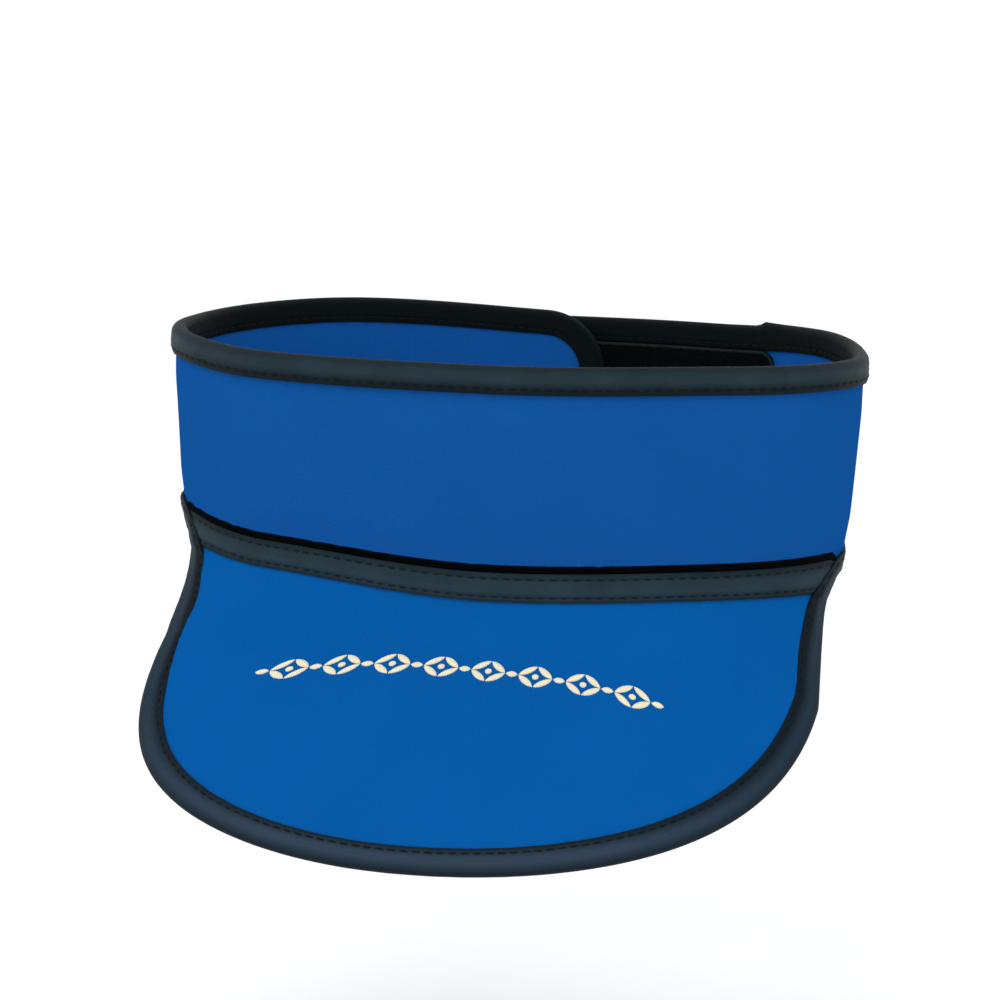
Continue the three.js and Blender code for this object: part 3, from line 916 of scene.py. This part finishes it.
def on_seam_tape(s, h):
    """1 where the seam tape lies under the binding, easing to 0 beside it."""
    reach = seam_tape_reach(h)
    beside = np.maximum(SEAM_START - reach - s, s - SEAM_END - reach)
    return 1 - smooth_step(np.maximum(beside, SEAM_TAPE_LOW - h) / CLIMB_LENGTH)


def binding_width(s, h):
    bib_width = side_to_front(BIB_BINDING_SIDE_WIDTH, BIB_BINDING_FRONT_WIDTH, s)
    return SEWN_WIDTH + (bib_width - SEWN_WIDTH) * smooth_step(-h / WIDTH_EASE)


def folded_section(width, half, depth):
    """across and n of a tape folded over an edge, from its margin on the inner face to its outer margin."""
    flat = np.linspace(1, 0, FLAT_POINTS)[:-1]
    turn = np.linspace(0, math.pi, FOLD_POINTS)
    across = FOLD_START + (width[:, None] - FOLD_START) * flat
    fold = np.broadcast_to(FOLD_START - depth * np.sin(turn), (len(width), len(turn)))
    n = np.concatenate([np.full(len(flat), -half), -half * np.cos(turn), np.full(len(flat), half)])
    return np.concatenate([across, fold, across[:, ::-1]], axis=1), n[None, :]


def binding():
    """The tape folded over the whole edge. It climbs over the ends of the seam tape, and its own two ends lie
    over each other on the band's top, at the back right."""
    edge = Edge(bound_line(), step=1.6)
    width = binding_width(edge.s, edge.h)
    on_top = edge.h > BAND_HEIGHT - TOP_SLACK
    joined = on_top * smooth_step((JOIN_AT + JOIN_STEP / 2 - edge.s) / JOIN_STEP)
    join = (JOIN_HEIGHT * joined * np.exp(-np.maximum(JOIN_AT - edge.s, 0) / JOIN_LENGTH))[:, None]
    from_closing = np.minimum(edge.distance, edge.length - edge.distance)[:, None]

    def skin(half, depth):
        across, n = folded_section(width, half, depth)
        side = n / half
        beat = ripples(edge.distance[:, None], across, PUCKER_LENGTH, TAPE_PUCKER, seed=11)
        relief = tape_relief(across, width[:, None]) + beat * smooth_step(from_closing / CLOSING_EASE)
        in_fold = np.sqrt(np.clip(1 - side ** 2, 0, 1))
        s, h = edge.places(across - join * in_fold)
        lift = CLIMB * on_seam_tape(s, h) * np.clip(side, 0, 1)
        return cloth_point(s, h, n * pinched(across) + side * (relief + JOIN_THICKNESS * join) + lift)

    outer = skin(TAPE_OVER, FOLD_DEPTH)
    inner = skin(TAPE_UNDER, FOLD_DEPTH - TAPE)
    body = shell(outer, inner, np.append(edge.distance, edge.length), closed=True)
    on_bib = edge.distance[edge.h < -SEAM_GAP]
    front = ((on_bib[0] + on_bib[-1]) / 2, (on_bib[-1] - on_bib[0]) / 2)
    # Painted highlight on the crown and round the front; painted shade on the inner face, round the bib's
    # sides and towards the edges
    cloth = tape_cloth("binding_cloth", TAPE_SLATE, crown=4.3, spread=3.3, inner_face=INNER_FACE, front=front)
    piece = add_piece("binding_tape", [body], cloth, SHARP_ANGLE)
    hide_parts("neck_binding", "bib_binding")

    def sewn(side):
        def place(distance, lift):
            here = edge.at(distance, width)
            s, h = edge.place_at(distance, here - STITCH_MARGIN)
            n = TAPE_OVER + tape_relief(here - STITCH_MARGIN, here) + lift
            if side > 0:
                n = n + CLIMB * on_seam_tape(s, h)
            return cloth_point(s, h, side * n)
        return place

    stitch_rows("binding_stitches", [(sewn(side), 0.0, edge.length) for side in (1, -1)])


def stitches(place, start, end):
    """A row of short threads, each a tube of six sides with two faces on each end. place(distance, lift)
    gives points of the sewn line for arrays of distances."""
    centres = start + STITCH_PITCH * (0.5 + np.arange(int((end - start) / STITCH_PITCH)))
    along = np.linspace(-0.5, 0.5, STITCH_RINGS)
    distance = centres[:, None] + STITCH_LENGTH * along
    line = place(distance, lift=0.0)
    up = unit(place(distance, lift=0.5) - line)
    arch = STITCH_RADIUS * (STITCH_ARCH * np.cos(along * math.pi) - STITCH_SUNK)
    middle = line + up * arch[None, :, None]
    forward = unit(np.gradient(middle, axis=1))
    side = unit(np.cross(forward, up))
    lift = np.cross(side, forward)
    turn = np.arange(STITCH_SIDES) * 2 * math.pi / STITCH_SIDES
    radius = STITCH_RADIUS * np.sqrt(np.clip(1 - (2 * along) ** 4, STITCH_TIP, 1))
    ring = side[:, :, None] * np.cos(turn)[:, None] + lift[:, :, None] * np.sin(turn)[:, None]
    points = middle[:, :, None] + ring * radius[None, :, None, None]
    grid = (len(centres), STITCH_RINGS, STITCH_SIDES)
    index = np.arange(math.prod(grid)).reshape(grid)
    beside = np.roll(index, -1, axis=2)
    sides = np.stack([index[:, :-1], index[:, 1:], beside[:, 1:], beside[:, :-1]], -1).reshape(-1, 4)
    first, last = index[:, 0], index[:, -1]
    caps = [first[:, [0, 1, 2, 3]], first[:, [0, 3, 4, 5]], last[:, [3, 2, 1, 0]], last[:, [5, 4, 3, 0]]]
    faces = np.concatenate([sides] + caps)
    cloth = np.stack([np.broadcast_to(distance[:, :, None], grid), np.broadcast_to(turn, grid)], -1)
    return points.reshape(-1, 3), faces, cloth.reshape(-1, 2)[faces]


def stitch_rows(name, rows):
    add_piece(name, [stitches(*row) for row in rows], black_thread)


# Seam tape

def seam_stations():
    """Shares of the seam's length, and how far the tape's top edge sags there, most in front."""
    share = stations(0, 1, SEAM_STEP)[:, None]
    return share, SEAM_SAG * (1 - smooth_step((np.abs(2 * share - 1) - SAG_FROM) / SAG_EASE))


def seam_places(share, h):
    reach = seam_tape_reach(h)
    return SEAM_START - reach + (SEAM_END - SEAM_START + 2 * reach) * share


def seam_tape():
    """The wide tape over the seam, on a narrower one that shows along its top and is tucked under the binding
    at its ends. The narrower tape is near-black: painted shade of the crevice above the wide tape's top edge."""
    share, sag = seam_stations()
    high = SEAM_TAPE_UP - SEAM_LINE - sag
    width = high - SEAM_TAPE_LOW
    h = high - width * closing_steps(SEAM_ROWS)[None, :]
    s = seam_places(share, h)
    middle = s[:, SEAM_ROWS // 2]
    half = width / 2
    relief = tape_relief(half - np.minimum(h - SEAM_TAPE_LOW, high - h), half)
    beat = ripples(s, h, PUCKER_LENGTH, TAPE_PUCKER, seed=17)
    outer = cloth_point(s, h, TAPE_OVER + relief + beat)
    inner = cloth_point(s, h, TAPE_UNDER + relief + beat)
    body = shell(outer, inner, middle)
    piece = add_piece("seam_tape_cloth", [body], seam_cloth, SHARP_ANGLE)
    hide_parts("seam_tape")

    # The narrow tape along the top, coloured near-black as painted shade of the crevice
    across = closing_steps(SEAM_LINE_ROWS)[None, :]
    tucked = SEAM_LINE_TUCK * smooth_step((np.abs(2 * share - 1) - SEAM_LINE_END) / (1 - SEAM_LINE_END))
    line_high = high - tucked
    line_h = line_high + SEAM_LINE * (1 - 2 * across)
    line_s = seam_places(share, line_h)
    shown = smooth_step((line_h - line_high) / SEAM_LINE_EASE) * smooth_step(across / SEAM_LINE_ROUND)
    line_top = cloth_point(line_s, line_h, BAND_FACE + SEAM_LINE_LOW + SEAM_LINE_RISE * shown)
    line_base = cloth_point(line_s, line_h, BAND_FACE - SEAM_LINE_SUNK)
    line = shell(line_top, line_base, line_s[:, SEAM_LINE_ROWS // 2])
    add_piece("seam_line", [line], crevice_shade_cloth, SHARP_ANGLE)

    def sewn(above):
        def place(distance, lift):
            sagged = np.interp(distance, middle, sag[:, 0]) if above else 0.0
            margin = np.interp(distance, middle, half[:, 0])
            h = SEAM_TAPE_UP - SEAM_LINE - sagged - STITCH_MARGIN if above else SEAM_TAPE_LOW + STITCH_MARGIN
            return cloth_point(distance, h, TAPE_OVER + tape_relief(margin - STITCH_MARGIN, margin) + lift)
        return place

    start, end = SEAM_START + SEAM_STITCH_INSET, SEAM_END - SEAM_STITCH_INSET
    stitch_rows("seam_stitches", [(sewn(above), start, end) for above in (True, False)])


# Bib

PATTERN_RADIUS = 140.0
BIB_COLUMNS = 141

# How many times as high the bib's waves are as the band's
BIB_WAVES = 3.2


def bib_padding(s, down, length):
    inside = length - down - side_to_front(BIB_BINDING_SIDE_WIDTH, BIB_BINDING_FRONT_WIDTH, s)
    puff, waves = padding(s, down, inside, seed=23)
    near_seam = smooth_step(down / PUFF_RISE)
    return puff * near_seam, BIB_WAVES * waves * near_seam


def bib_pattern(s, down):
    """The bib's cloth laid flat, where the seam is an arc."""
    angle = s / PATTERN_RADIUS
    radius = PATTERN_RADIUS + down
    return radius * np.sin(angle), PATTERN_RADIUS - radius * np.cos(angle)


def bib_cover():
    s = (SEAM_START + (SEAM_END - SEAM_START) * closing_steps(BIB_COLUMNS))[:, None]
    length = bib_length(s[:, 0])[:, None]
    start = -seam_allowance(s)
    down = start + (length - start) * closing_steps(COVER_ROWS)[None, :]
    puff, waves = bib_padding(s, down, length)
    face = wall_face(BIB_FACE, np.minimum(down - start, length - down))
    outer = bib_point(s, down, face + puff + waves)
    inner = bib_point(s, down, -face - puff + waves)
    u, v = bib_pattern(s, down)
    body = shell(outer, inner, there_and_back(u), there_and_back(v))
    piece = add_piece("bib_cover", [body], bib_cloth, SHARP_ANGLE)
    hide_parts("bib")


# A plain border of satin stitches across the bib: lozenges of four pointed bars and a dot, linked by bars

MOTIF_START = -48.0
MOTIF_END = 48.0
MOTIF_COUNT = 8
MOTIF_DOWN = 23.4
MOTIF_BOW = 0.0045
MOTIF_RISE = 0.5
LOZENGE_LENGTH = 8.7
LOZENGE_HEIGHT = 6.5
BAR_WIDTH = 1.75
BAR_GAP = 0.3
DOT_SIZE = 1.7
LINK_LENGTH = 2.9
POINTED = 0.8
ROUND = 0.5
BAR_TIP = 0.06
BAR_SUNK = 0.2
BAR_ROWS = 13
BAR_COLUMNS = 9


def motif_bars():
    """Middle along and across the border, direction, length and width of each bar of satin stitches."""
    pitch = (MOTIF_END - MOTIF_START) / MOTIF_COUNT
    slope = math.atan2(LOZENGE_HEIGHT, LOZENGE_LENGTH)
    side = math.hypot(LOZENGE_LENGTH, LOZENGE_HEIGHT) / 2 - BAR_GAP
    bars = [(MOTIF_START + pitch * link, 0.0, 0.0, LINK_LENGTH, BAR_WIDTH) for link in range(MOTIF_COUNT + 1)]
    for lozenge in range(MOTIF_COUNT):
        middle = MOTIF_START + pitch * (lozenge + 0.5)
        bars.append((middle, 0.0, 0.0, DOT_SIZE, DOT_SIZE))
        for x in (-1, 1):
            for y in (-1, 1):
                place = (middle + x * LOZENGE_LENGTH / 4, y * LOZENGE_HEIGHT / 4)
                bars.append((*place, -x * y * slope, side, BAR_WIDTH))
    return bars


def motif():
    bodies = []
    along = closing_steps(BAR_ROWS) * 2 - 1
    aside = np.sin(np.linspace(-math.pi / 2, math.pi / 2, BAR_COLUMNS))
    for middle, across, direction, length, width in motif_bars():
        taper = np.maximum((1 - along ** 2) ** (ROUND if length == width else POINTED), BAR_TIP)
        x = np.repeat(along[:, None] * length / 2, BAR_COLUMNS, axis=1)
        y = taper[:, None] * width / 2 * aside
        s = middle + x * math.cos(direction) - y * math.sin(direction)
        down = MOTIF_DOWN + MOTIF_BOW * s ** 2 + across + x * math.sin(direction) + y * math.cos(direction)
        puff, waves = bib_padding(s, down, bib_length(s.ravel()).reshape(s.shape))
        face = BIB_FACE + puff + waves
        rise = MOTIF_RISE * np.sqrt(taper[:, None] * (1 - aside ** 2))
        top = bib_point(s, down, face + rise)
        base = bib_point(s, down, face - BAR_SUNK)
        bodies.append(shell(top, base, x[:, 0] + length))
    add_piece("bib_border", bodies, satin_thread)


# Closure panels

PANEL_EDGE = SEWN_WIDTH - 0.1
PANEL_STEP = 1.5
PANEL_ROWS = 37
NAP_EASE = 0.8
NAP_LENGTH = 2.2
NAP_HEIGHT = 0.05
SELVAGE_WIDTH = 1.0
SELVAGE_COLUMNS = 7

# Heights of the selvage's sides and of its crown over them, in shares of the panel's thickness
SELVAGE_SIDES = 0.55
SELVAGE_CROWN = 0.35


def panel_field(name, node, start, end, side, material, seed):
    """Hooks or loops on one face of the band, lower under the selvage."""
    s = slab_stations(start, end, PANEL_CORNER_RADIUS, PANEL_STEP)[:, None]
    drop = corner_drop(np.minimum(s - start, end - s), PANEL_CORNER_RADIUS)
    low, high = PANEL_EDGE + drop, BAND_HEIGHT - PANEL_EDGE - drop
    h = low + (high - low) * (1 - closing_steps(PANEL_ROWS)[None, :])
    edge = np.minimum(np.minimum(h - low, high - h), np.minimum(s - start, end - s))
    inside = edge - SELVAGE_WIDTH
    nap = PANEL_THICKNESS * (1 + smooth_step((inside + NAP_EASE / 2) / NAP_EASE)) / 2
    fuzz = ripples(s, h, NAP_LENGTH, NAP_HEIGHT, seed) * smooth_step(inside)
    top = band_point(s, h, side * (PANEL_UNDER + nap + fuzz))
    base = band_point(s, h, side * TAPE_UNDER)
    faces = (top, base) if side > 0 else (base, top)
    piece = add_piece(name + "_field", [shell(*faces, s[:, 0], there_and_back(h))], material)
    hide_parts(node)


def panel_selvage(name, start, end, side):
    """The flat woven selvage round a panel, with the stitches that hold it down."""
    line = rounded_line(start, end, PANEL_EDGE, BAND_HEIGHT - PANEL_EDGE, PANEL_CORNER_RADIUS)
    edge = Edge(line, PANEL_STEP)
    across = np.linspace(0, SELVAGE_WIDTH, SELVAGE_COLUMNS)[None, ::side]
    dome = np.sqrt(np.clip(1 - np.linspace(-1, 1, SELVAGE_COLUMNS) ** 2, 0, 1))[None, :]
    s, h = edge.places(across)
    height = PANEL_UNDER + PANEL_THICKNESS * (SELVAGE_SIDES + SELVAGE_CROWN * dome)
    high_face = cloth_point(s, h, side * height)
    low_face = cloth_point(s, h, side * TAPE_UNDER)
    body = shell(high_face, low_face, np.append(edge.distance, edge.length), closed=True)
    add_piece(name + "_selvage", [body], selvage_cloth)

    def sewn(distance, lift):
        s, h = edge.place_at(distance, SELVAGE_WIDTH / 2)
        crown = PANEL_UNDER + PANEL_THICKNESS * (SELVAGE_SIDES + SELVAGE_CROWN)
        return cloth_point(s, h, side * (crown + lift))

    stitch_rows(name + "_stitches", [(sewn, 0.0, edge.length)])


def closure_panels():
    """The hooks face outwards on the inner flap, and the loops inwards on the outer one."""
    start = INNER_END + PANEL_END_MARGIN
    end = start + PANEL_LENGTH
    panel_field("hook", "hook_panel", start, end, 1, hook_cloth, seed=41)
    panel_selvage("hook", start, end, 1)

    end = OUTER_END - PANEL_END_MARGIN
    start = end - PANEL_LENGTH - LOOP_PANEL_EXTRA
    panel_field("loop", "loop_panel", start, end, -1, loop_cloth, seed=43)
    panel_selvage("loop", start, end, -1)


# Studio

CAMERA_AZIMUTH = 0.13
CAMERA_ELEVATION = 0.1692
CAMERA_ROLL = -0.0312
CAMERA_DISTANCE = 0.7
CAMERA_FOCAL = 2.4784
CAMERA_TARGET = (-0.003365, 0.0, 0.011449)
CAMERA_NEAR = 0.01
SENSOR = 36.0
FLOOR_DROP = 0.09
FLOOR_HALF_WIDTH = 6.0
FLOOR_GRAIN = 60.0
FLOOR_DARK = (0.94, 0.94, 0.94, 1.0)
FLOOR_LIGHT = (0.96, 0.96, 0.96, 1.0)
WORLD_LIGHT = 1.06


def turned(axes, place):
    """A matrix from three axes and a place."""
    return Matrix([[*row, at] for row, at in zip(np.stack(axes, 1), place)] + [[0, 0, 0, 1]])


def camera():
    azimuth, elevation = CAMERA_AZIMUTH, CAMERA_ELEVATION
    level_back = np.array([math.sin(azimuth), -math.cos(azimuth), 0.0])
    back = level_back * math.cos(elevation) + np.array([0.0, 0.0, math.sin(elevation)])
    level = np.array([math.cos(azimuth), math.sin(azimuth), 0.0])
    up = np.cross(back, level)
    right = level * math.cos(CAMERA_ROLL) - up * math.sin(CAMERA_ROLL)
    above = level * math.sin(CAMERA_ROLL) + up * math.cos(CAMERA_ROLL)
    data = bpy.data.cameras.new("camera")
    data.sensor_width = SENSOR
    data.lens = CAMERA_FOCAL * SENSOR
    data.clip_start = CAMERA_NEAR
    rig = bpy.data.objects.new("camera", data)
    rig.matrix_world = turned((right, above, back), np.array(CAMERA_TARGET) + back * CAMERA_DISTANCE)
    bpy.context.scene.collection.objects.link(rig)
    bpy.context.scene.camera = rig


def floor():
    """The collar is held up over it, level, as a neck would hold it."""
    low, half = cad_box[0][2] - FLOOR_DROP, FLOOR_HALF_WIDTH
    corners = [(-half, -half, low), (half, -half, low), (half, half, low), (-half, half, low)]
    mesh = bpy.data.meshes.new("floor")
    mesh.from_pydata(corners, [], [(0, 1, 2, 3)])
    shader = Shader("floor_paper")
    grain = shader.noise(shader.node("ShaderNodeTexCoord").outputs["Object"], FLOOR_GRAIN)
    tone = shader.blend(grain, FLOOR_DARK, FLOOR_LIGHT)
    mesh.materials.append(shader.finish(tone, Roughness=0.9))
    plane = bpy.data.objects.new("floor", mesh)
    bpy.context.scene.collection.objects.link(plane)


def area_light(name, place, target, size, power):
    data = bpy.data.lights.new(name, "AREA")
    data.shape = "SQUARE"
    data.size = size
    data.energy = power
    lamp = bpy.data.objects.new(name, data)
    back = unit(np.array(place, float) - np.array(target, float))
    side = unit(np.cross((0.0, 0.0, 1.0), back))
    lamp.matrix_world = turned((side, np.cross(back, side), back), place)
    bpy.context.scene.collection.objects.link(lamp)


def studio():
    world = bpy.data.worlds.new("studio")
    world.use_nodes = True
    background = world.node_tree.nodes["Background"]
    background.inputs["Color"].default_value = (1.0, 1.0, 1.0, 1.0)
    background.inputs["Strength"].default_value = WORLD_LIGHT
    bpy.context.scene.world = world
    bpy.context.scene.view_settings.view_transform = "Standard"
    area_light("key", place=(-0.35, -0.8, 1.3), target=(0, 0, 0), size=0.9, power=6.0)


neck_band_cover()
bib_cover()
seam_tape()
binding()
motif()
closure_panels()
camera()
floor()
studio()
